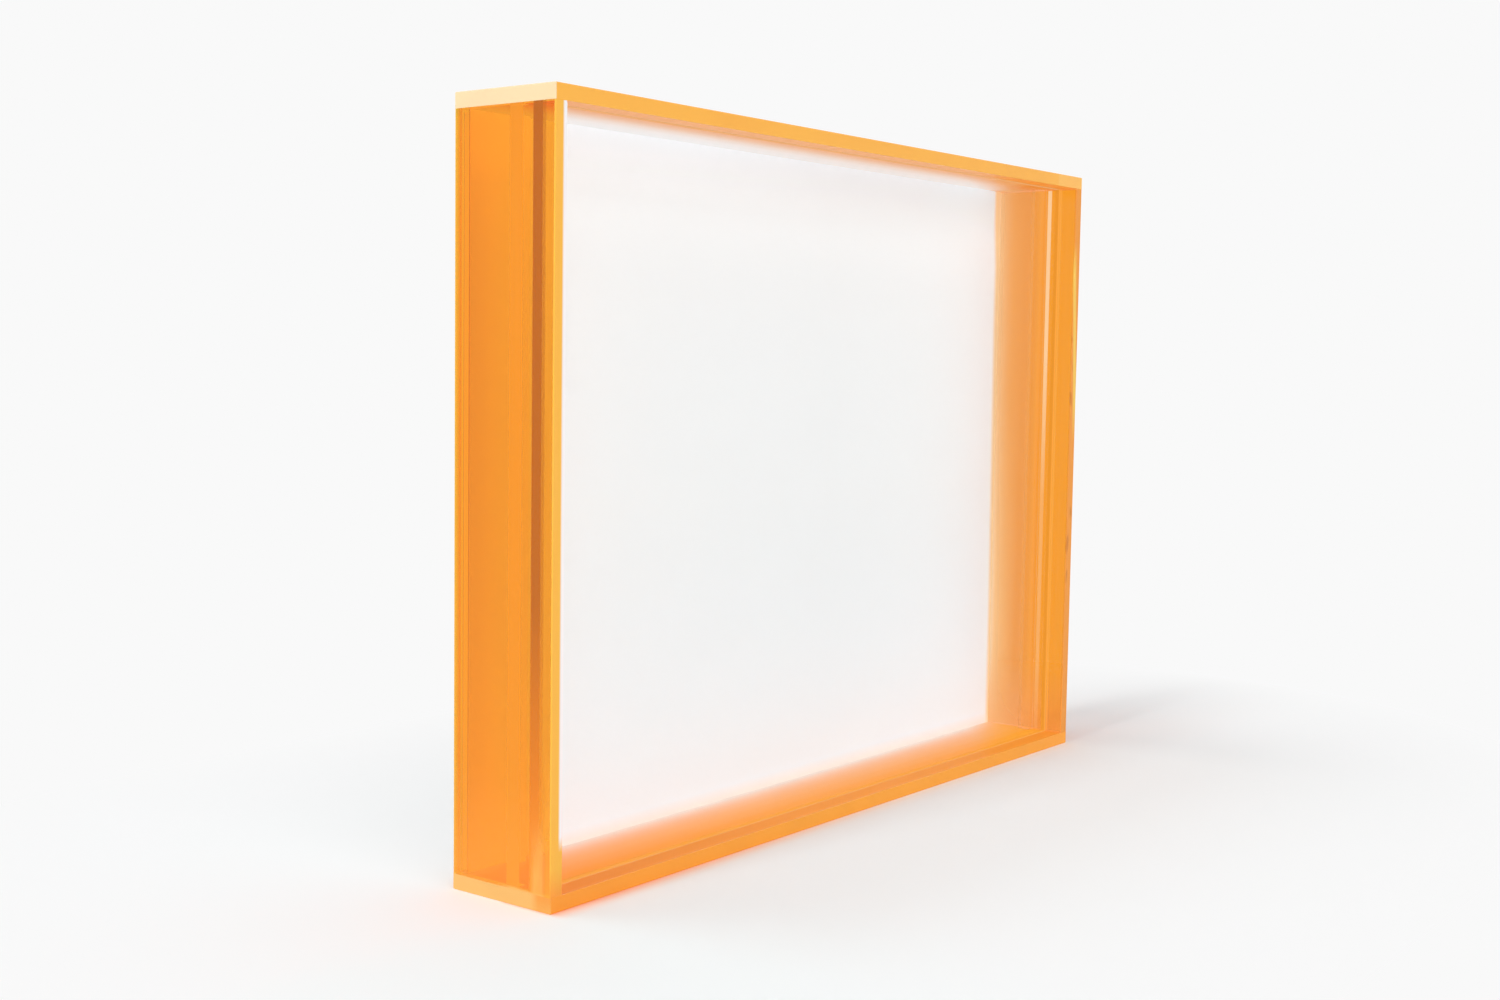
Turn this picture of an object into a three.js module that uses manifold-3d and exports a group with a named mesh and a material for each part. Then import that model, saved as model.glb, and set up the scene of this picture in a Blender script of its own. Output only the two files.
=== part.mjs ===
// Acrylic photo frame: a shallow box of fluorescent orange sheet, with a clear glazing set back
// from its front edges, two upright rails behind the glazing, and a white insert that carries
// the print and pulls out of the back.
// Millimetres. +X is the width, +Y runs from the front to the back and +Z is up. The origin is
// the middle of the footprint, on the surface that the frame stands on.

import * as THREE from 'three';
import { ConvexGeometry } from 'three/addons/geometries/ConvexGeometry.js';
import Module from 'manifold-3d';
import { mergeVertices } from 'three/addons/utils/BufferGeometryUtils.js';

const wasm = await Module();
wasm.setup();

// The print that the frame is made for
const printWidth = 203;
const printHeight = 152;
const printThickness = 0.25;
const printSideGap = 1.25;
const printEndGap = 0.75;

// The orange box
const sheet = 3.25;
const frameDepth = 27.25;
const arris = 0.25;

// The clear glazing and the rails behind it
const glazingRecess = 5;
const glazingThickness = 2.5;
const slotDepth = 2.75;
const railDepth = 3.5;
const railWidth = 2;

// The insert that closes the back. Its paper is cut to fill the opening with a running gap.
const paperGap = 0.25;
const backingThickness = 2;
const backingInset = 0.25;
const backingGap = 0.5;
const backingArris = 0.125;
const notchWidth = 22;
const notchDepth = 9;
const notchSegments = 24;

// The soft pads that hold the insert by friction
const padLength = 20;
const padWidth = 1.5;
const padSpacing = 120;
const padSqueeze = 0.0625;

// Sizes that follow
const openingWidth = printWidth + 2 * printSideGap;
const openingHeight = printHeight + 2 * printEndGap;
const frameWidth = openingWidth + 2 * sheet;
const frameHeight = openingHeight + 2 * sheet;
const front = -frameDepth / 2;
const back = frameDepth / 2;
const middle = frameHeight / 2;
const glazingFront = front + glazingRecess;
const railFront = glazingFront + glazingThickness + slotDepth;
const backingBack = back - backingInset;
const backingFront = backingBack - backingThickness;
const paperWidth = openingWidth - 2 * paperGap;
const paperHeight = openingHeight - 2 * paperGap;
const backingWidth = openingWidth - 2 * backingGap;
const backingHeight = openingHeight - 2 * backingGap;
const padThickness = backingGap - padSqueeze;

// Finishes
const orangeAcrylic = {
  color: 0xf5963a, roughness: 0.06, metalness: 0, transparent: true, opacity: 0.72,
};
const clearAcrylic = {
  color: 0xf4f7f7, roughness: 0.04, metalness: 0, transparent: true, opacity: 0.25,
};
const whitePaper = { color: 0xf3f2f0, roughness: 0.7, metalness: 0 };
const whiteSheet = { color: 0xefeeec, roughness: 0.35, metalness: 0 };
const clearSilicone = {
  color: 0xe9ecec, roughness: 0.3, metalness: 0, transparent: true, opacity: 0.5,
};

// Shapes

// A plate with sharp lower edges and an arris round its upper face, centred on the origin. Its
// length lies along X, its breadth along Y and its thickness along Z.
function plate(length, breadth, thickness, edge) {
  const points = [];
  for (const sx of [-1, 1]) {
    for (const sy of [-1, 1]) {
      const x = sx * length / 2;
      const y = sy * breadth / 2;
      points.push(new THREE.Vector3(x, y, -thickness / 2));
      points.push(new THREE.Vector3(x, y, thickness / 2 - edge));
      points.push(new THREE.Vector3(x - sx * edge, y - sy * edge, thickness / 2));
    }
  }
  return new ConvexGeometry(points);
}

// A plate whose arris runs along its two long edges only, so that its ends meet other pieces square.
function wallPlate(length, breadth, thickness, edge) {
  const points = [];
  for (const sx of [-1, 1]) {
    for (const sy of [-1, 1]) {
      const x = sx * length / 2;
      const y = sy * breadth / 2;
      points.push(new THREE.Vector3(x, y, -thickness / 2));
      points.push(new THREE.Vector3(x, y, thickness / 2 - edge));
      points.push(new THREE.Vector3(x, y - sy * edge, thickness / 2));
    }
  }
  return new ConvexGeometry(points);
}

function solidOf(geometry) {
  const bare = geometry.clone();
  bare.deleteAttribute('normal');
  if (bare.hasAttribute('uv')) bare.deleteAttribute('uv');
  const merged = mergeVertices(bare, 1e-4);
  return new wasm.Manifold(new wasm.Mesh({
    numProp: 3,
    vertProperties: new Float32Array(merged.attributes.position.array),
    triVerts: new Uint32Array(merged.index.array),
  }));
}

function geometryOf(solid) {
  const result = solid.getMesh();
  const geometry = new THREE.BufferGeometry();
  geometry.setAttribute('position', new THREE.BufferAttribute(result.vertProperties, 3));
  geometry.setIndex(new THREE.BufferAttribute(result.triVerts, 1));
  geometry.computeVertexNormals();
  return geometry;
}

// The backing lies in the XZ plane, with a rounded thumb notch cut down from its top edge.
function backingGeometry() {
  const panel = plate(backingWidth, backingHeight, backingThickness, backingArris);
  panel.rotateX(-Math.PI / 2);
  const cutter = new THREE.CylinderGeometry(
    notchWidth / 2, notchWidth / 2, 3 * backingThickness, notchSegments,
  );
  cutter.scale(1, 1, 2 * notchDepth / notchWidth);
  cutter.translate(0, 0, backingHeight / 2);
  return geometryOf(solidOf(panel).subtract(solidOf(cutter)));
}

// Assembly

const frame = new THREE.Group();

function add(name, geometry, finish, place, turn = [0, 0, 0]) {
  const mesh = new THREE.Mesh(geometry, new THREE.MeshStandardMaterial(finish));
  mesh.name = name;
  mesh.position.set(...place);
  mesh.rotation.set(...turn);
  frame.add(mesh);
  return mesh;
}

function addBox() {
  const panel = plate(frameWidth, frameDepth, sheet, arris);
  add('top_panel', panel, orangeAcrylic, [0, 0, frameHeight - sheet / 2]);
  add('bottom_panel', panel.clone(), orangeAcrylic, [0, 0, sheet / 2], [Math.PI, 0, 0]);
  const wall = wallPlate(openingHeight, frameDepth, sheet, arris);
  const wallX = openingWidth / 2 + sheet / 2;
  add('left_wall', wall, orangeAcrylic, [-wallX, 0, middle], [0, -Math.PI / 2, 0]);
  add('right_wall', wall.clone(), orangeAcrylic, [wallX, 0, middle], [0, Math.PI / 2, 0]);
}

function addGlazingAndRails() {
  const glazing = new THREE.BoxGeometry(openingWidth, glazingThickness, openingHeight);
  add('front_glazing', glazing, clearAcrylic, [0, glazingFront + glazingThickness / 2, middle]);
  const rail = new THREE.BoxGeometry(railWidth, railDepth, openingHeight);
  const railX = openingWidth / 2 - railWidth / 2;
  add('left_rail', rail, clearAcrylic, [-railX, railFront + railDepth / 2, middle]);
  add('right_rail', rail.clone(), clearAcrylic, [railX, railFront + railDepth / 2, middle]);
}

function addInsert() {
  const print = new THREE.BoxGeometry(paperWidth, printThickness, paperHeight);
  add('print_sheet', print, whitePaper, [0, backingFront - printThickness / 2, middle]);
  add('backing_panel', backingGeometry(), whiteSheet,
    [0, backingFront + backingThickness / 2, middle]);
  let number = 1;
  for (const side of [-1, 1]) {
    for (const end of [-1, 1]) {
      const pad = new THREE.BoxGeometry(padLength, padWidth, padThickness);
      const z = middle + side * (backingHeight / 2 + padThickness / 2);
      add(`grip_pad_${number}`, pad, clearSilicone,
        [end * padSpacing / 2, backingFront + backingThickness / 2, z]);
      number += 1;
    }
  }
}

addBox();
addGlazingAndRails();
addInsert();

export default frame;
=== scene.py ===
# %% [markdown]
# This lesson dresses a small box frame of fluorescent orange acrylic for a studio picture. The
# solids of the frame are loaded first, because every piece below takes its place and its size
# from them. All lengths are in metres, and MM turns millimetres into metres.

import math

import bmesh
import bpy
from mathutils import Matrix, Vector


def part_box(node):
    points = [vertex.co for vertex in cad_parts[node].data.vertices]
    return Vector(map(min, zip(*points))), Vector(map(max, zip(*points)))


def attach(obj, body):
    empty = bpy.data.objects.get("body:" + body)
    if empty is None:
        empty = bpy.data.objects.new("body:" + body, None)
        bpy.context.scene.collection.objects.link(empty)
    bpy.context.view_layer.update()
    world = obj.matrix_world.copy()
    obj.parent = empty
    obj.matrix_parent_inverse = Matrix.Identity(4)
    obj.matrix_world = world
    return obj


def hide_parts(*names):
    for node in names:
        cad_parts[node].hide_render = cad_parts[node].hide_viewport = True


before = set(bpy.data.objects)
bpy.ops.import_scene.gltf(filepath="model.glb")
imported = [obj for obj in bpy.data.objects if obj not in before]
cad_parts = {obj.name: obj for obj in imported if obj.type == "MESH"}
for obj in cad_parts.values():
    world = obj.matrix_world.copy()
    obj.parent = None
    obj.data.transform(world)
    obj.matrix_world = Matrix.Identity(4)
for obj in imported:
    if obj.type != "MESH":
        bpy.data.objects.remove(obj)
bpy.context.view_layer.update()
MM = 0.001
print("solids", sorted(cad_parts))

# %% [markdown]
# The camera stands in front of the frame's left end and a little above its middle, turned 52
# degrees from the depth of the box, so that the left wall, the open front and the inside of
# the right wall show at once. A camera can be aimed with a Track To constraint, but a matrix
# made from three directions keeps the slight roll of a hand-set tripod as well.

# %% Place the camera
heading, tilt, roll = math.radians(52.482), math.radians(4.551), math.radians(0.874)
ahead = Vector((
    math.sin(heading) * math.cos(tilt),
    math.cos(heading) * math.cos(tilt),
    -math.sin(tilt),
))
level = Vector((math.cos(heading), -math.sin(heading), 0))
rise = level.cross(ahead)
right = level * math.cos(roll) + rise * math.sin(roll)
up = rise * math.cos(roll) - level * math.sin(roll)

lens = bpy.data.cameras.new("studio_camera")
lens.sensor_width = 36
lens.lens = 43.862
camera = bpy.data.objects.new("studio_camera", lens)
axes = Matrix((right, up, -ahead)).transposed().to_4x4()
camera.matrix_world = Matrix.Translation((-0.359184, -0.255497, 0.109376)) @ axes
bpy.context.scene.collection.objects.link(camera)
bpy.context.scene.camera = camera
print("camera", tuple(round(v, 3) for v in camera.location), "lens", lens.lens)

# %% [markdown]
# A finish is a small tree of shader nodes. Wiring them by hand takes many lines, so one class
# wraps a socket and gives it Python's arithmetic: `1 - mask` adds the Math node and the links.
# A second class holds the tree and adds any other node from its type, its settings and its
# inputs.

# %% A socket with arithmetic
class Wire:
    """An output socket that can stand in an expression."""

    def __init__(self, tree, socket):
        self.tree = tree
        self.socket = socket

    def math(self, operation, first, second=None):
        inputs = {0: first} if second is None else {0: first, 1: second}
        return self.tree.add("ShaderNodeMath", {"operation": operation}, inputs)

    def __add__(self, other):
        return self.math("ADD", self, other)

    def __mul__(self, other):
        return self.math("MULTIPLY", self, other)

    __radd__ = __add__
    __rmul__ = __mul__

    def __sub__(self, other):
        return self.math("SUBTRACT", self, other)

    def __rsub__(self, other):
        return self.math("SUBTRACT", other, self)

    def __truediv__(self, other):
        return self.math("DIVIDE", self, other)

    def __pow__(self, other):
        return self.math("POWER", self, other)

    def __abs__(self):
        return self.math("ABSOLUTE", self)

    def __or__(self, other):
        return self.math("MAXIMUM", self, other)


# %% A finish with its tree of nodes
class Finish:
    """A material, or the world, whose nodes are added one call at a time."""

    def __init__(self, name, owner=None):
        self.material = owner or bpy.data.materials.new(name)
        self.material.use_nodes = True
        self.tree = self.material.node_tree
        self.tree.nodes.clear()

    def add(self, kind, settings=None, inputs=None, output=0):
        node = self.tree.nodes.new(kind)
        for key, value in (settings or {}).items():
            if key == "stops":
                self.set_stops(node.color_ramp, value)
            else:
                setattr(node, key, value)
        for key, value in (inputs or {}).items():
            if isinstance(value, Wire):
                self.tree.links.new(value.socket, node.inputs[key])
            else:
                node.inputs[key].default_value = value
        return Wire(self, node.outputs[output])

    def set_stops(self, ramp, stops):
        while len(ramp.elements) < len(stops):
            ramp.elements.new(1)
        for element, (position, shade) in zip(ramp.elements, stops):
            element.position = position
            element.color = shade

    def finish(self, surface, volume=None):
        end = self.tree.nodes.new("ShaderNodeOutputMaterial")
        self.tree.links.new(surface.socket, end.inputs["Surface"])
        if volume is not None:
            self.tree.links.new(volume.socket, end.inputs["Volume"])
        print("finish", self.material.name, len(self.tree.nodes), "nodes")
        return self.material


# %% Short calls for the nodes used most
def place(finish):
    """The three coordinates of the shaded point, in millimetres of the frame."""
    point = finish.add("ShaderNodeTexCoord", output="Object")
    split = finish.add("ShaderNodeSeparateXYZ", inputs={0: point})
    sockets = split.socket.node.outputs
    return [Wire(finish, sockets[i]) * 1000 for i in range(3)]


def step(finish, value, start, end):
    """0 at start, 1 at end and straight in between, whichever of the two is larger."""
    inputs = {"Value": value, "From Min": start, "From Max": end}
    return finish.add("ShaderNodeMapRange", {"clamp": True}, inputs)


def band(finish, value, start, full, last, end):
    """Rises from start to full, stays at 1 and falls from last to end."""
    return step(finish, value, start, full) * step(finish, value, end, last)


def ramp(finish, value, stops):
    """A grey ramp as a number: stops are pairs of a place from 0 to 1 and a value."""
    greys = [(position, (grey, grey, grey, 1)) for position, grey in stops]
    return finish.add("ShaderNodeValToRGB", {"stops": greys}, {0: value})


def blend(finish, factor, first, second):
    """A colour between two colours."""
    settings = {"data_type": "RGBA", "clamp_factor": True}
    return finish.add("ShaderNodeMix", settings, {0: factor, 6: first, 7: second}, output=2)


def mix(finish, factor, first, second):
    """A shader between two shaders."""
    return finish.add("ShaderNodeMixShader", inputs={0: factor, 1: first, 2: second})


def noise(finish, scale, detail=2.0, stretch=(1, 1, 1)):
    """Soft noise in object space, drawn out along an axis by a small stretch value."""
    point = finish.add("ShaderNodeTexCoord", output="Object")
    scaled = finish.add(
        "ShaderNodeVectorMath", {"operation": "MULTIPLY"}, {0: point, 1: stretch},
    )
    inputs = {"Vector": scaled, "Scale": scale, "Detail": detail}
    return finish.add("ShaderNodeTexNoise", inputs=inputs)


def bump(finish, height, strength, distance):
    """Small hills and hollows that turn the light but leave the outline as it is."""
    inputs = {"Strength": strength, "Distance": distance, "Height": height}
    return finish.add("ShaderNodeBump", inputs=inputs)


def rgb(red, green, blue):
    """A screen colour from 0 to 255 as the linear light that it stands for."""
    def linear(value):
        share = value / 255
        return share / 12.92 if share <= 0.04045 else ((share + 0.055) / 1.055) ** 2.4
    return (linear(red), linear(green), linear(blue), 1)


print("one pass of white through the sheet", [round(v, 3) for v in rgb(250, 158, 54)[:3]])

# %% [markdown]
# Fluorescent acrylic does two things. Light that goes through it loses blue and some green, and
# the dye turns part of what it takes into an orange glow that travels inside the sheet and
# comes out where the surface is broken: at the sawn and polished edges. The first is a Volume
# Absorption inside a glass surface, so that a thicker path is redder without any painting. The
# second could be found by scattering inside the volume, but that needs thousands of samples, so
# the edges get a dyed surface that gives a little light of its own, laid over the glass.
#
# What is laid over the glass is mostly painted light and shade: glow, highlights and a veil
# that stand in for light in the sheet. It is placed by the coordinates of the point in
# millimetres. X runs to 106 at both ends and Z from 0 to 160. Y runs from -13.6 at the front
# edges to 13.6 at the back: the glazing lies from -8.6 to -6.1, the rails from -3.4 to 0.1 and
# the paper at 11.1.

# %% The sizes that the finishes use
SHEET = 3.25
DEPTH = 27.25
FRONT = -DEPTH / 2
WIDTH = 212
HEIGHT = 160
OPENING_X = WIDTH / 2 - SHEET
OPENING_Z = HEIGHT / 2 - SHEET
GLAZING_FRONT = FRONT + 5
PAPER_FRONT = DEPTH / 2 - 2.5
print("half the opening", OPENING_X, "by", OPENING_Z, "mm")


# %% The glass of the orange sheet
def sheet_glass(finish, marks=0.02, wave=0.004, mirror=0.5, bend=1.49):
    """The polished face: glass with faint wipe marks and a long, slight waviness."""
    wipes = noise(finish, 90, 3.0, (1, 1, 0.15))
    inputs = {
        "Base Color": (1, 1, 1, 1),
        "Roughness": 0.012 + marks * step(finish, wipes, 0.55, 0.75),
        "IOR": bend,
        "Transmission Weight": 1.0,
        "Specular Tint": (mirror, mirror, mirror, 1),
    }
    if wave:
        inputs["Normal"] = bump(finish, noise(finish, 22, 1.0), wave, 0.001)
    return finish.add("ShaderNodeBsdfPrincipled", inputs=inputs)


def clear_glass(finish, bend):
    """The same face on clear sheet, which shows no mirror image and no waviness."""
    return sheet_glass(finish, marks=0.01, wave=0, mirror=0.0, bend=bend)


def let_lamps_through(finish, surface, share=0.5):
    """Light on its way from a lamp passes the surface, and the volume still colours it."""
    shadow = finish.add("ShaderNodeLightPath", output="Is Shadow Ray")
    passed = {"Color": (share, share, share, 1)}
    return mix(finish, shadow, surface, finish.add("ShaderNodeBsdfTransparent", inputs=passed))


KEEP_RED = 0.98


def orange_volume(finish, keep_green=0.385, keep_blue=0.018):
    """Absorption that leaves these shares of the light after one thickness of the sheet."""
    red, green, blue = (
        -math.log(keep) / (SHEET * MM) for keep in (KEEP_RED, keep_green, keep_blue)
    )
    colour = (1 - red / blue, 1 - green / blue, 0, 1)
    return finish.add("ShaderNodeVolumeAbsorption", inputs={"Color": colour, "Density": blue})


# %% [markdown]
# Inside the box the sheet looks different again. Close to the white insert the faces pick up a
# milky veil, strongest at the insert and faint or gone halfway to the front, and the floor and
# ceiling glow a fuller orange than glass alone would give. Reflections between six faces would
# give both, at the price of a long render with grain in it. Laid over the glass by the depth in
# the box, which is the Y of the point, they are smooth at once.
#
# Geometry's Backfacing tells the air side of a face from the side that is seen through the
# sheet, so a glow can be laid on one side alone.

# %% The glow and the milky veil
def toned(finish, colour, share):
    """A colour, or a link to one, made darker by a share."""
    if isinstance(colour, Wire):
        return blend(finish, share, (0, 0, 0, 1), colour)
    return tuple(share * part for part in colour[:3]) + (1,)


def glow(finish, colour, strength=0.25, rough=0.22, gloss=0.15):
    """A bright surface for the dye's glow: paint that takes light, and painted light of its own.
    """
    return finish.add("ShaderNodeBsdfPrincipled", inputs={
        "Base Color": toned(finish, colour, 1 - strength),
        "Roughness": rough,
        "Emission Color": colour,
        "Emission Strength": strength,
        "Specular IOR Level": gloss,
    })


def from_sheet(finish):
    """1 where a face is seen from within its sheet, and 0 from the air."""
    return finish.add("ShaderNodeNewGeometry", output="Backfacing")


def outside_only(finish, mask):
    """Keeps a mask for the side of a surface that faces the air."""
    return mask * (1 - from_sheet(finish))


def inside_only(finish, mask):
    """Keeps a mask for the side of a surface that faces into the sheet."""
    return mask * from_sheet(finish)


def lay(finish, look, mask, colour, *amounts):
    """Lays a glow, with its amounts, over a look: on the air side, where the mask says."""
    return mix(finish, outside_only(finish, mask), look, glow(finish, colour, *amounts))


def rim(finish, value, whole):
    """1 at both ends of a length and 0 between them, with a short fade."""
    return step(finish, abs(value), whole / 2 - 0.35, whole / 2 - 0.2)


def depth_share(y):
    """0 at the front edges of the box and 1 at its back."""
    return (y - FRONT) / DEPTH


# Pairs of a depth share and the strength of the veil there. The paper lies just behind 0.905.
VEIL_WALL = [
    (0.0, 0.0), (0.42, 0.0), (0.50, 0.28), (0.65, 0.34), (0.79, 0.40), (0.905, 0.60),
]
VEIL_FLOOR = [
    (0.0, 0.0), (0.26, 0.0), (0.38, 0.03), (0.50, 0.08), (0.62, 0.15),
    (0.71, 0.25), (0.77, 0.35), (0.83, 0.52), (0.905, 0.8),
]
VEIL_CEILING = [
    (0.0, 0.04), (0.18, 0.08), (0.32, 0.12), (0.42, 0.31),
    (0.54, 0.62), (0.68, 0.87), (0.80, 0.96), (0.905, 0.98),
]

# %% [markdown]
# The outer faces of the side walls are plain glass, and through them the white insert shows
# orange. What is laid over the glass is painted light: narrow lines, and a wash of orange glow
# that grows towards the foot. It starts with the front edges, which get a painted glow. The two
# walls differ there, because the left edge has painted white light from the insert beside it
# and the right one is painted orange glow alone, with dust in it and a short painted highlight
# that slants across it.

# %% Front edges of the side walls
def left_edge(f, y, z, wall):
    """A painted glow line, and beside the opening painted white light from the insert."""
    cloud = noise(f, 60, 1.0)
    crisp = blend(f, cloud, rgb(255, 190, 74), rgb(254, 192, 80))
    glowing = glow(f, blend(f, step(f, z, 9, 3.5), crisp, rgb(255, 164, 66)))
    pale = step(f, wall, 1.2, 0.7) * step(f, z, 12, 15) * step(f, y, 1, -1)
    return mix(f, pale, glowing, glow(f, rgb(250, 249, 250), 0.62))


def right_edge(f, y, z, wall):
    """Deep orange glow with flecks of dust, and a short painted highlight that slants across."""
    stretch = band(f, z, 36, 48, 124, 132) * step(f, y, 1, -1)
    flecks = step(f, noise(f, 420, 1.0, (1, 1, 0.35)), 0.62, 0.7) * 0.5 * stretch
    deep = blend(f, flecks, rgb(248, 158, 58), rgb(196, 110, 26))
    across = 0.4 + 2.0 * step(f, z, 134, 98)
    highlight = step(f, abs(wall - across), 1.1, 0.5) * band(f, z, 86, 97, 134, 142)
    return glow(f, blend(f, highlight, deep, rgb(255, 206, 90)))


# %% [markdown]
# Next come the marks of the making and painted light and shade: the pale solvent that has crept
# up from the bottom joint of the left wall, drawn as a pale glow, a painted glow at its foot,
# the painted shade of the glazing's end in that wall, and a painted highlight on either side of
# the glazing. The inner face has its painted veil and, lower down, painted light for what it
# takes from the insert and from the bottom panel.

# %% Marks and painted light on the side walls
def left_marks(f, y, z, inner, inside, look):
    """Solvent at the foot, drawn as glow, a painted foot glow and the glazing end's painted
    shade.
    """
    wick = SHEET + 0.1 + 0.8 * noise(f, 130, 1.0, (0, 1, 0))
    bond = step(f, z, wick, wick - 0.4) * band(f, y, -12.4, -11.4, -3, 1)
    look = lay(f, look, bond * 0.8, rgb(253, 190, 106), 0.5)
    runs = step(f, noise(f, 260, 2.0, (1, 1, 0.2)), 0.4, 0.6)
    streak = step(f, z, 18, 7) * band(f, y, -12.2, -11.2, -9.2, -8.0)
    look = lay(f, look, streak * (0.5 + 0.3 * runs) * inside, rgb(255, 184, 92), 0.5)
    # A painted glow where the wall meets the foot at the front.
    gold = step(f, z, 34, 8) * step(f, y, -11.6, -12.4) * inside * 0.5
    look = lay(f, look, gold, rgb(252, 174, 62), 0.5)
    shade = blend(f, step(f, z, 60, 12), rgb(196, 164, 74), rgb(254, 222, 186))
    end = band(f, y, -9.7, -9.3, -8.6, -8.4) * inner * 0.5
    return mix(f, inside_only(f, end), look, glow(f, shade, 0.88, 0.4, 0.0))


def glazing_lines(f, y, z, inner, look):
    """A painted highlight behind the glazing, strongest at the top, and another in front of it.
    """
    back_highlight = band(f, y, -5.1, -4.95, -3.9, -3.75) * inner * (0.3 + 0.65 * step(f, z, 70, 110))
    look = lay(f, look, back_highlight, rgb(255, 210, 160), 0.95, 0.3, 0.0)
    highlight = band(f, y, -9.4, -9.2, -8.7, -8.5) * inner * 0.8
    return lay(f, look, highlight, rgb(255, 170, 70), 0.9, 0.3, 0.0)


def wall_veil(f, share, inner, inside, look):
    """Painted shade and light: dull orange halfway in that turns to cream beside the insert."""
    dull = blend(f, step(f, share, 0.60, 0.74), rgb(222, 138, 62), rgb(232, 166, 98))
    milk = blend(f, step(f, share, 0.74, 0.90), dull, rgb(243, 214, 172))
    return lay(f, look, ramp(f, share, VEIL_WALL) * inner * inside, milk, 0.5, 0.5, 0.0)


def inner_marks(f, z, share, inner, look):
    """Painted light on the lower part of the inner face, from the insert and the bottom panel.
    """
    beside = step(f, share, 0.62, 0.85) * band(f, z, 6, 26, 40, 100) * inner * 0.45
    pale = blend(f, step(f, share, 0.86, 0.905), rgb(252, 203, 140), rgb(252, 228, 196))
    look = lay(f, look, beside, pale, 0.85, 0.4, 0.0)
    tone = blend(f, step(f, share, 0.35, 0.76), rgb(253, 157, 80), rgb(253, 181, 113))
    return lay(f, look, step(f, z, 22, 4) * inner * 0.6, tone, 0.85, 0.4, 0.0)


# %% Finish of the side walls
def side_finish(name, keep_green, keep_blue, left):
    f = Finish(name)
    x, y, z = place(f)
    wall = abs(x) - OPENING_X
    inner = step(f, wall, 0.2, 0.1)
    edges = rim(f, y, DEPTH)
    inside = 1 - edges
    edge = left_edge(f, y, z, wall) if left else right_edge(f, y, z, wall)
    # Painted glow on the edges where they are seen from within the sheet.
    within = rgb(255, 240, 118) if left else rgb(247, 190, 118)
    look = mix(f, outside_only(f, edges * 0.92), sheet_glass(f), edge)
    look = mix(f, inside_only(f, edges * 0.8), look, glow(f, within, 0.6))
    # A painted orange glow that grows towards the foot, full on the left wall, weaker on the
    # right.
    low = (step(f, z, 90, 0) * 0.12 + step(f, z, 26, 6) * 0.45) * inside
    look = lay(f, look, low * (1.0 if left else 0.4), rgb(253, 163, 62), 0.5)
    if left:
        look = left_marks(f, y, z, inner, inside, look)
    look = glazing_lines(f, y, z, inner, look)
    share = depth_share(y)
    look = wall_veil(f, share, inner, inside, look)
    look = inner_marks(f, z, share, inner, look)
    # Painted light along the joints with the top and bottom panels, turning cream towards the
    # back.
    ends = step(f, abs(z - HEIGHT / 2), OPENING_Z - 0.4, OPENING_Z - 0.25)
    joint_glow = blend(f, step(f, share, 0.4, 0.75), rgb(250, 160, 78), rgb(248, 186, 128))
    look = lay(f, look, ends * inner * 0.9, joint_glow, 0.5)
    return f.finish(let_lamps_through(f, look), orange_volume(f, keep_green, keep_blue))


# The two walls are the same sheet. The left one keeps more green and less blue than the right,
# so the walls are two copies of one acrylic, tuned to how the light falls on each.
left_acrylic = side_finish(
    "orange_acrylic_left", keep_green=0.42, keep_blue=0.018, left=True,
)
right_acrylic = side_finish(
    "orange_acrylic_right", keep_green=0.375, keep_blue=0.03, left=False,
)

# %% [markdown]
# The top and bottom panels run over the ends of the walls, so their own ends show too. Their
# tones are painted light and shade laid over the glass. The end of the top panel is painted pale
# cream, because the studio light falls straight along it, and the end of the bottom one is a
# duller peach that turns orange at its front corner. The inner faces have one painted tone in
# front of the glazing and another behind it, and both change along the panel. Each panel has a
# function for its tones, and one more lays them over the glass.

# %% Painted tones of the top and bottom panels
def top_tones(f, x, y):
    """Painted tones for the front edge, ends, recess and ceiling, and the veil's share."""
    front_edge = blend(f, step(f, x, 92, 93) * 0.4, rgb(252, 184, 78), rgb(255, 205, 120))
    recess = blend(f, step(f, x, 55, 80), rgb(250, 171, 98), rgb(255, 157, 67))
    in_corner = blend(f, step(f, y, 0, 9), rgb(246, 152, 66), rgb(242, 188, 116))
    ceiling = blend(f, step(f, x - y, 87, 95), rgb(246, 174, 108), in_corner)
    fade = step(f, x - 2.27 * y, 87, 64) * step(f, x, 101, 95)
    fade = fade * (1 - 0.12 * step(f, x, -40, 20))
    return front_edge, rgb(247, 222, 176), recess, ceiling, fade


def foot_tones(f, x, y, z):
    """The same for the bottom panel, whose inner face is the floor."""
    leftward = step(f, x, -20, -100)
    front_edge = blend(f, leftward, rgb(255, 168, 60), rgb(255, 160, 58))
    at_corner = blend(f, step(f, z, 0.5, 2.5), rgb(250, 175, 86), rgb(251, 163, 70))
    end = blend(f, step(f, y, -8.3, -10.3) * 0.9, rgb(251, 193, 112), at_corner)
    recess = blend(f, leftward, rgb(255, 157, 57), rgb(248, 146, 54))
    floor = blend(f, leftward, rgb(255, 162, 58), rgb(253, 152, 44))
    floor = blend(f, step(f, x - y, 72, 95), floor, rgb(255, 172, 55))
    fade = step(f, x - y, 99, 79) * (1 - 0.2 * leftward)
    return front_edge, end, recess, floor, fade


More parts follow.
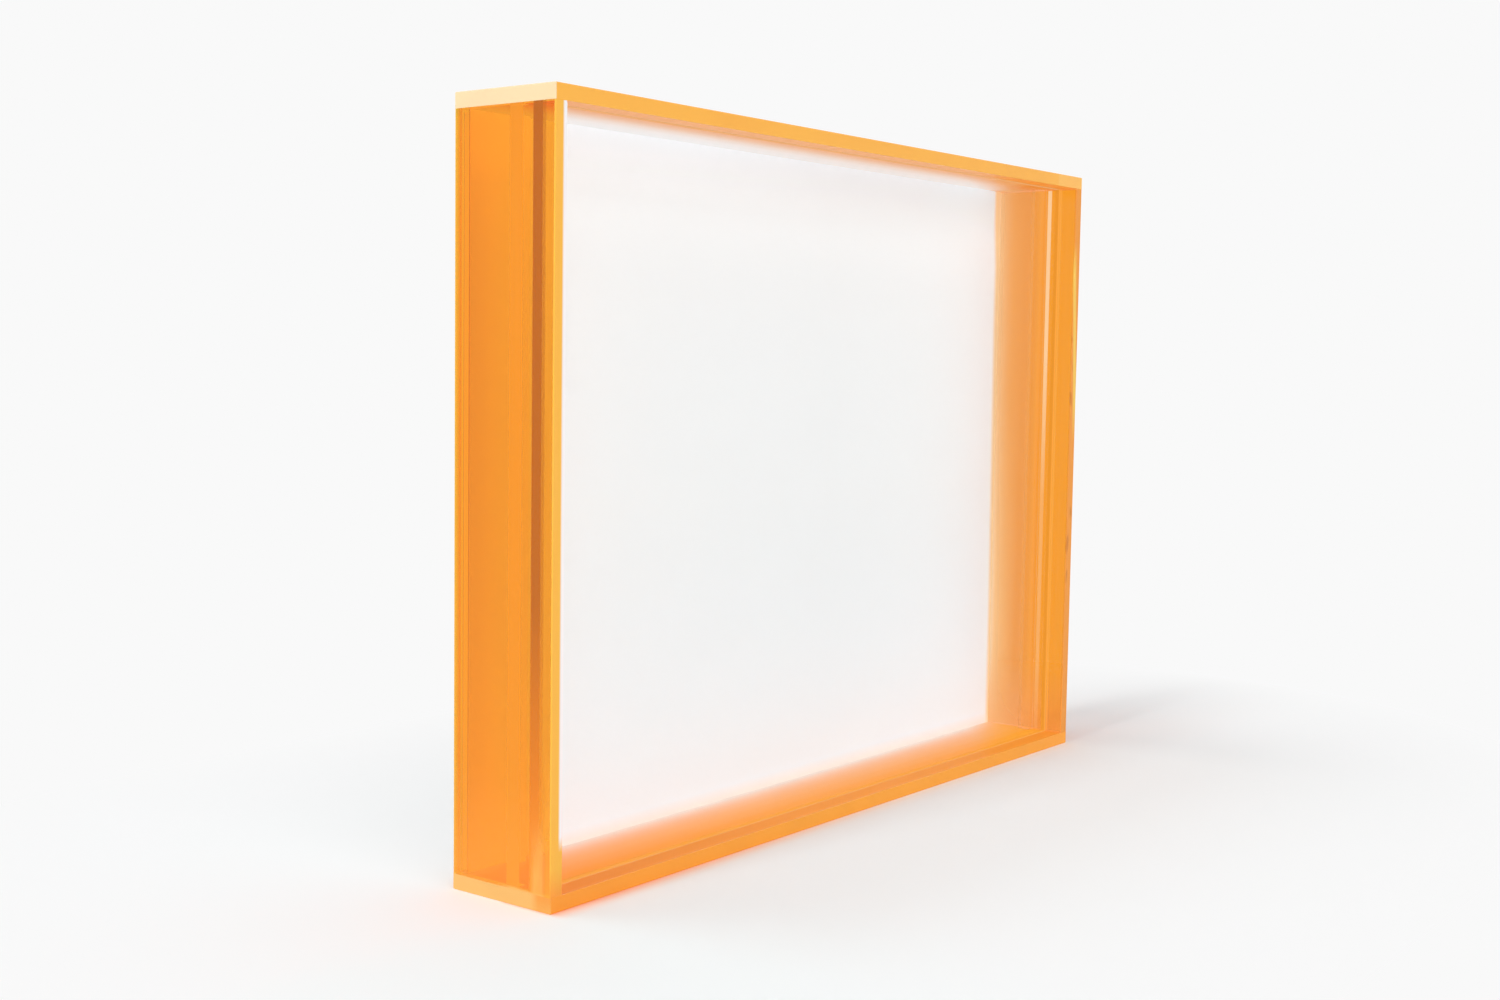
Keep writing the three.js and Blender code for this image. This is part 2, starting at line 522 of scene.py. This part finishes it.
# %% Finish of the top and bottom panels
def level_finish(name, top, face, edge_glow, veil_glow, veil_stops):
    f = Finish(name)
    x, y, z = place(f)
    tones = top_tones(f, x, y) if top else foot_tones(f, x, y, z)
    front_edge, end, recess, within, fade = tones
    ends = rim(f, x, WIDTH)
    rims = rim(f, y, DEPTH) | ends
    cloud = step(f, noise(f, 60), 0.2, 0.8)
    bright = blend(f, ends, front_edge, end)
    look = lay(f, sheet_glass(f), rims * (0.9 + 0.08 * cloud), bright, edge_glow)
    look = mix(f, inside_only(f, rims * 0.8), look, glow(f, rgb(250, 225, 190), 0.6))
    inner = step(f, abs(z - face), 0.1, 0.03) * (1 - rims)
    behind = step(f, y, GLAZING_FRONT - 0.575, GLAZING_FRONT + 0.225)
    look = lay(f, look, inner * 0.97, blend(f, behind, recess, within), 0.55, 0.4, 0.02)
    veil = ramp(f, depth_share(y), veil_stops) * inner * fade
    look = lay(f, look, veil, rgb(247, 246, 246), veil_glow, 0.5, 0.02)
    return f.finish(let_lamps_through(f, look), orange_volume(f))


top_acrylic = level_finish(
    "orange_acrylic_top", top=True, face=HEIGHT - SHEET, edge_glow=0.25, veil_glow=0.66,
    veil_stops=VEIL_CEILING,
)
foot_acrylic = level_finish(
    "orange_acrylic_foot", top=False, face=SHEET, edge_glow=0.51, veil_glow=0.4,
    veil_stops=VEIL_FLOOR,
)

# %% [markdown]
# Each sheet is a plate with a fine arris, the narrow sloping edge that a polisher leaves so
# that the edge doesn't cut. bmesh makes the plain plate, and a Bevel modifier rounds it by the
# bevel weight of each edge: full on the outside, and next to nothing where plates are bonded,
# because a round there would show as a dark groove. A hair of air between touching plates keeps
# the glass surfaces apart, as the thin line of solvent does on the real joint.

# %% Make a plate with an arris
def even(start, end):
    """The same full weight on every edge."""
    return 1.0


def plate(name, low, high, arris, weigh=even, segments=2):
    """A box between two corners, in metres, with edges rounded by arris times their weight."""
    mesh = bpy.data.meshes.new(name)
    bm = bmesh.new()
    bmesh.ops.create_cube(bm, size=1)
    weights = bm.edges.layers.float.new("bevel_weight_edge")
    for edge in bm.edges:
        edge[weights] = weigh(edge.verts[0].co.copy(), edge.verts[1].co.copy())
    for vert in bm.verts:
        vert.co = Vector(
            (low[i] + high[i]) / 2 + vert.co[i] * (high[i] - low[i]) for i in range(3)
        )
    bm.to_mesh(mesh)
    bm.free()
    piece = bpy.data.objects.new(name, mesh)
    bpy.context.scene.collection.objects.link(piece)
    bevel = piece.modifiers.new("arris", "BEVEL")
    bevel.limit_method = "WEIGHT"
    bevel.width = arris
    bevel.segments = segments
    bpy.context.view_layer.update()
    rounded = piece.evaluated_get(bpy.context.evaluated_depsgraph_get())
    piece.data = bpy.data.meshes.new_from_object(rounded)
    piece.data.name = name
    piece.modifiers.clear()
    return piece


def upright_weight(outward):
    """For a wall: its four upright edges only, the outer pair in full."""
    def weigh(start, end):
        if abs(start.z - end.z) < 0.5:
            return 0.0
        return 1.0 if start.x * outward > 0 else 0.2
    return weigh


def level_weight(outward):
    """For the top and bottom: all edges of the outer face, and the corners."""
    def weigh(start, end):
        if abs(start.z - end.z) > 0.5:
            return 0.6
        if start.z * outward > 0:
            return 1.0
        return 0.2 if abs(start.x - end.x) > 0.5 else 0.0
    return weigh


def dress(piece, material, node, body):
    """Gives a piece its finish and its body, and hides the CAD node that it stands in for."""
    piece.data.materials.append(material)
    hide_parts(node)
    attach(piece, body)
    size = [round(side / MM, 2) for side in piece.dimensions]
    print(piece.name, size, "mm", len(piece.data.polygons), "faces")


def shrunk(node, gaps=(0, 0, 0)):
    """The corners of a node, drawn in by a gap on each axis."""
    low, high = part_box(node)
    return (
        [low[i] + gaps[i] for i in range(3)],
        [high[i] - gaps[i] for i in range(3)],
    )


# %% The four orange plates
JOINT = 0.01 * MM
ARRIS = 0.25 * MM

for node, material, gaps, weigh in (
    ("top_panel", top_acrylic, (0, 0, 0), level_weight(1)),
    ("bottom_panel", foot_acrylic, (0, 0, 0), level_weight(-1)),
    ("left_wall", left_acrylic, (0, 0, JOINT), upright_weight(-1)),
    ("right_wall", right_acrylic, (0, 0, JOINT), upright_weight(1)),
):
    low, high = shrunk(node, gaps)
    piece = plate(node + "_sheet", low, high, ARRIS, weigh)
    dress(piece, material, node, "root")

# %% [markdown]
# The glazing is clear sheet. Its faces are plain glass, but its narrow edges sit against orange
# walls and send their colour along the sheet, so they get a painted glow, amber from the front
# and a painted brown shade through the wall. The faces of a clear sheet would also lay a grey
# mirror image of the room over the white card. A black Specular Tint keeps that off it.

# %% Finish and plate of the glazing
def glazing_finish():
    f = Finish("clear_acrylic_glazing")
    x, y, z = place(f)
    side = step(f, abs(x), OPENING_X - 0.06, OPENING_X - 0.03)
    level = step(f, abs(z - HEIGHT / 2), OPENING_Z - 0.06, OPENING_Z - 0.03)
    through_wall = blend(f, step(f, z, 60, 12), rgb(196, 164, 74), rgb(254, 222, 186))
    amber = blend(f, level, rgb(240, 153, 50), rgb(252, 163, 58))
    amber = blend(f, step(f, y, -7.8, -8.0), amber, rgb(255, 171, 72))
    amber = blend(f, level * step(f, z, 80, 81), amber, rgb(247, 178, 118))
    edge = glow(f, blend(f, from_sheet(f), through_wall, amber), 0.88, 0.4, 0.0)
    look = mix(f, (side | level) * 0.96, clear_glass(f, 1.2), edge)
    return f.finish(let_lamps_through(f, look, 0.97))


low, high = shrunk("front_glazing", (JOINT, 0, JOINT))
dress(
    plate("glazing_sheet", low, high, 0.03 * MM), glazing_finish(), "front_glazing", "root",
)

# %% [markdown]
# Two clear strips stand on the walls behind the glazing and keep it square. Their faces are
# glass, and their bonded sides get a painted bright glow for the light that the bond line
# scatters. Through the left wall that side is what shows as the light stripe.

# %% Finish and plates of the rails
def rail_finish():
    f = Finish("clear_acrylic_rail")
    x = place(f)[0]
    grain = step(f, noise(f, 300, 2.0, (1, 1, 0.04)), 0.3, 0.7)
    bond = step(f, abs(x), OPENING_X - 0.12, OPENING_X - 0.06) * (0.9 + 0.08 * grain)
    look = lay(f, clear_glass(f, 1.1), bond, rgb(255, 243, 240), 0.9, 0.4, 0.0)
    return f.finish(let_lamps_through(f, look, 0.97))


rail_acrylic = rail_finish()
for node in ("left_rail", "right_rail"):
    low, high = shrunk(node, (JOINT, 0, JOINT))
    piece = plate(node + "_strip", low, high, 0.04 * MM)
    dress(piece, rail_acrylic, node, "root")

# %% [markdown]
# The insert is what closes the back: a sheet of white paper where the print goes, and behind it
# a stiff satin sheet with a thumb notch. Paper is matt, with fibres that show only in a raking
# light. White paper also holds a brightener that turns unseen light into a faint cool glow. Here
# the finish gives painted light of its own, a faint cool glow that evens out the shade that the
# box throws on the paper, more at the top and bottom, where the panels shade it. Beside the
# orange faces and along the foot the paper takes their light, painted into its colour, and it
# is painted a little darker towards its lower right corner. The sheet is made a little larger
# than its solid, because the gap round it would show as a dark line.

# %% Finish and sheet of the paper
ORANGE_LIT_PAPER = rgb(243, 208, 152)
PAPER_GROWTH = 0.2 * MM


def paper_light(f, x, z, tone, by_wall):
    """The paper's own light: a colour, and a strength that evens out the shade of the box."""
    low, high = step(f, z, 75, 5), step(f, z, 122, 157)
    leftward, rightward = step(f, x, -38, -100), step(f, x, 20, 95)
    by_left = step(f, x, -82, -97)
    top_right = step(f, x, 60, 96) * band(f, z, 138, 154, 155, 162)
    top_left = step(f, x, 70, -40) * step(f, z, 143, 153)
    cool = blend(f, high, blend(f, low, tone, rgb(206, 234, 255)), rgb(236, 248, 255))
    cool = blend(f, top_right, cool, rgb(205, 243, 255))
    cool = blend(f, by_left, cool, rgb(255, 244, 214))
    cool = blend(f, by_wall, cool, ORANGE_LIT_PAPER)
    even_up = 0.2 * low * low + 0.4 * high * high + 0.08 * leftward * leftward
    faint = 0.27 + even_up + 0.1 * rightward + 0.28 * by_left + 0.2 * (top_right + top_left)
    return cool, faint


def paper_finish():
    f = Finish("white_paper")
    x, y, z = place(f)
    # Painted shade: a little darker towards the lower right corner.
    to_corner = step(f, z - x * 0.35, 150, 20)
    cloud = noise(f, 8, 1.0)
    plain = blend(f, to_corner * 0.8 + cloud * 0.2, rgb(243, 246, 247), rgb(239, 243, 244))
    # Painted orange light from the right wall beside it, reaching further in at the top, and
    # warm light from the bottom panel along the foot.
    reach = step(f, z, 136, 148) - 1.1 * step(f, z, 120, 40)
    by_wall = step(f, x + reach, 99.4, 101.2)
    tone = blend(f, by_wall, plain, ORANGE_LIT_PAPER)
    tone = blend(f, step(f, z, 6.5, 3.4), tone, rgb(250, 228, 205))
    cool, faint = paper_light(f, x, z, tone, by_wall)
    front_face = step(f, y, PAPER_FRONT + 0.115, PAPER_FRONT + 0.035)
    surface = f.add("ShaderNodeBsdfPrincipled", inputs={
        "Base Color": toned(f, tone, 0.76),
        "Roughness": 0.75,
        "Specular IOR Level": 0.2,
        "Emission Color": toned(f, cool, faint * front_face),
        "Emission Strength": 0.5,
        "Normal": bump(f, noise(f, 2600, 4.0, (1, 1, 0.6)), 0.12, 0.00005),
    })
    return f.finish(surface)


low, high = shrunk("print_sheet", (-PAPER_GROWTH, 0, -PAPER_GROWTH))
high[1] -= JOINT
dress(
    plate("blank_print", low, high, 0.03 * MM), paper_finish(), "print_sheet", "insert",
)

# %% [markdown]
# The narrow sides of the backing stand next to the orange walls, and through them they look
# brighter than its shaded back, so they get a painted glow. Its faces are satin, with a fine
# orange peel and faint scuffs.

# %% Finish of the backing
def backing_finish():
    f = Finish("white_styrene")
    x, y = place(f)[:2]
    tone = blend(f, noise(f, 14), rgb(247, 246, 245), rgb(241, 240, 239))
    scuffs = step(f, noise(f, 160, 4.0, (0.3, 1, 1)), 0.6, 0.75)
    surface = f.add("ShaderNodeBsdfPrincipled", inputs={
        "Base Color": tone,
        "Roughness": 0.36 + 0.12 * scuffs,
        "Normal": bump(f, noise(f, 900), 0.08, 0.0001),
    })
    sides = step(f, abs(x), 102.2, 102.24) * step(f, y, 13.2, 13.1)
    return f.finish(mix(f, sides, surface, glow(f, rgb(255, 250, 240), 0.8, 0.4, 0.0)))


# %% [markdown]
# The notch is where a thumb pulls the insert out. It could be cut with a Boolean modifier, but
# an outline that already has the notch, extruded and bevelled, gives clean faces. The outline
# runs round the sheet once, and the notch in its top edge is half an ellipse.

# %% Sheet of the backing
NOTCH_WIDTH = 22 * MM
NOTCH_DEPTH = 9 * MM
NOTCH_STEPS = 24


def notched_plate(name, low, high, arris):
    """A plate in the XZ plane whose top edge has a round-bottomed notch in its middle."""
    outline = [(low[0], low[2]), (high[0], low[2]), (high[0], high[2])]
    for i in range(NOTCH_STEPS + 1):
        turn = math.pi * i / NOTCH_STEPS
        px = NOTCH_WIDTH / 2 * math.cos(turn)
        outline.append((px, high[2] - NOTCH_DEPTH * math.sin(turn)))
    outline.append((low[0], high[2]))
    mesh = bpy.data.meshes.new(name)
    bm = bmesh.new()
    verts = [bm.verts.new((px, low[1], pz)) for px, pz in outline]
    face = bm.faces.new(verts)
    grown = bmesh.ops.extrude_face_region(bm, geom=[face])
    moved = [v for v in grown["geom"] if isinstance(v, bmesh.types.BMVert)]
    bmesh.ops.translate(bm, verts=moved, vec=(0, high[1] - low[1], 0))
    bmesh.ops.recalc_face_normals(bm, faces=bm.faces[:])
    rounds = [e for e in bm.edges if abs(e.verts[0].co.y - e.verts[1].co.y) < 1e-7]
    bmesh.ops.bevel(bm, geom=rounds, offset=arris, segments=2, profile=0.5, affect="EDGES")
    bm.to_mesh(mesh)
    bm.free()
    piece = bpy.data.objects.new(name, mesh)
    bpy.context.scene.collection.objects.link(piece)
    return piece


low, high = shrunk("backing_panel")
dress(
    notched_plate("backing_sheet", low, high, 0.12 * MM), backing_finish(), "backing_panel",
    "insert",
)

# %% [markdown]
# Four soft pads hold the insert by friction. They are strips of clear silicone with round
# edges.

# %% Finish and strips of the pads
def silicone_finish():
    f = Finish("clear_silicone")
    cloud = noise(f, 700)
    surface = f.add("ShaderNodeBsdfPrincipled", inputs={
        "Base Color": blend(f, cloud, rgb(244, 247, 247), rgb(234, 240, 240)),
        "Roughness": 0.3 + 0.2 * cloud,
        "IOR": 1.41,
        "Transmission Weight": 0.35,
    })
    return f.finish(let_lamps_through(f, surface, 0.8))


silicone = silicone_finish()
for number in range(1, 5):
    node = f"grip_pad_{number}"
    low, high = shrunk(node)
    piece = plate(f"soft_strip_{number}", low, high, 0.18 * MM, even, 3)
    dress(piece, silicone, node, "insert")

# %% [markdown]
# The frame stands on a plain pale table in a white room. Near the object the table is real
# paint that takes the soft shadow. Further off it fades to the flat white of the room, so that
# no horizon shows. The fade could be made with a long curved backdrop, as a studio does, but
# then the backdrop needs light of its own. Here a Light Path node gives the flat white only to
# rays that look at the table, also through glass or in a mirror, and leaves the light alone.
# The colour is painted a little lighter in front on the right and a little cooler on the left,
# which evens out the lamps, and along the foot it has a painted warm line for the glow of the
# edge.

# %% Rays that look
ROOM_WHITE = rgb(249, 249, 249)


def looking(finish):
    """1 for a ray from the camera, in a mirror or through glass, and 0 for one that lights."""
    rays = finish.add("ShaderNodeLightPath").socket.node.outputs
    mirrored = Wire(finish, rays["Is Glossy Ray"]) | Wire(finish, rays["Is Transmission Ray"])
    return Wire(finish, rays["Is Camera Ray"]) | mirrored


# %% Make the table
TABLE_PAINT = (0.885, 0.9, 0.905, 1)
PAINTED_LIGHT_TONE = (0.94, 0.94, 0.94, 1)
PAINTED_COOL_TONE = (0.862, 0.9, 0.905, 1)


def table_finish():
    f = Finish("table_white")
    x, y = place(f)[:2]
    beyond = (abs(x) - 90) | 0
    far = (beyond * beyond + y * y) ** 0.5
    # Painted light: lighter in front on the right, cooler on the left, a warm line along the
    # foot.
    right_front = band(f, x, -80, 40, 105, 125) * band(f, y, -90, -25, -10, 0)
    tone = blend(f, right_front, TABLE_PAINT, PAINTED_LIGHT_TONE)
    left_front = step(f, x, -60, -120) * step(f, y, 0, -15)
    tone = blend(f, left_front, tone, PAINTED_COOL_TONE)
    by_foot = step(f, y, -19, -13.8) ** 2 * step(f, x, 30, -90) * step(f, abs(x), 107, 105)
    tone = blend(f, by_foot * step(f, y, 0, -1) * 0.8, tone, rgb(255, 186, 150))
    paint = f.add("ShaderNodeBsdfPrincipled", inputs={
        "Base Color": tone,
        "Roughness": 0.9,
        "Specular IOR Level": 0.1,
    })
    flat = f.add("ShaderNodeEmission", inputs={"Color": ROOM_WHITE, "Strength": 1.0})
    return f.finish(mix(f, looking(f) * step(f, far, 60, 150), paint, flat))


table_mesh = bpy.data.meshes.new("table_top")
table_bm = bmesh.new()
bmesh.ops.create_grid(table_bm, x_segments=24, y_segments=24, size=4)
table_bm.to_mesh(table_mesh)
table_bm.free()
table = bpy.data.objects.new("table_top", table_mesh)
bpy.context.scene.collection.objects.link(table)
table_mesh.materials.append(table_finish())

# %% [markdown]
# The world is the room. What the camera sees of it is the same flat white, and what lights the
# frame is a little darker, so that the table isn't brighter than the room.

# %% Make the room
room = bpy.data.worlds.new("white_room")
bpy.context.scene.world = room


def room_finish():
    f = Finish("white_room", room)
    grey = (0.9, 0.9, 0.9, 1)
    light = f.add("ShaderNodeBackground", inputs={"Color": grey, "Strength": 0.68})
    wall = f.add("ShaderNodeBackground", inputs={"Color": ROOM_WHITE, "Strength": 1.0})
    end = f.tree.nodes.new("ShaderNodeOutputWorld")
    f.tree.links.new(mix(f, looking(f), light, wall).socket, end.inputs["Surface"])
    print("finish", room.name, len(f.tree.nodes), "nodes")


room_finish()

# %% [markdown]
# Three softboxes light the frame. The one high on the left makes the soft shadow that falls to
# the right, the one high behind shades the table along the front, and the wide low one in front
# fills the open box. An area light the size of a real softbox is the plainest way to get such
# soft edges. Far lamps light the table evenly, so they stand about three metres off. Polished
# sheet would mirror them as white patches, so glossy rays don't see them.

# %% Hang the softboxes
def softbox(name, at, aim, width, height, power):
    """An area light at a place, turned to face another, that no polished face mirrors."""
    light = bpy.data.lights.new(name, "AREA")
    light.shape = "RECTANGLE"
    light.size = width
    light.size_y = height
    light.energy = power
    lamp = bpy.data.objects.new(name, light)
    lamp.location = at
    lamp.rotation_euler = (Vector(aim) - Vector(at)).to_track_quat("-Z", "Y").to_euler()
    lamp.visible_glossy = False
    bpy.context.scene.collection.objects.link(lamp)
    print(name, "at", at, power, "W")


softbox("back_softbox", (-0.6, 1.1, 2.6), (0, 0, 0), 1.0, 1.0, 9.5)
softbox("side_softbox", (-2.4, 0.1, 2.3), (0, 0, 0), 0.6, 1.0, 36.0)
softbox("front_softbox", (-1.2, -2.7, 1.2), (0, 0, 0.08), 2.8, 1.6, 31.0)

bpy.context.scene.view_settings.view_transform = "Standard"
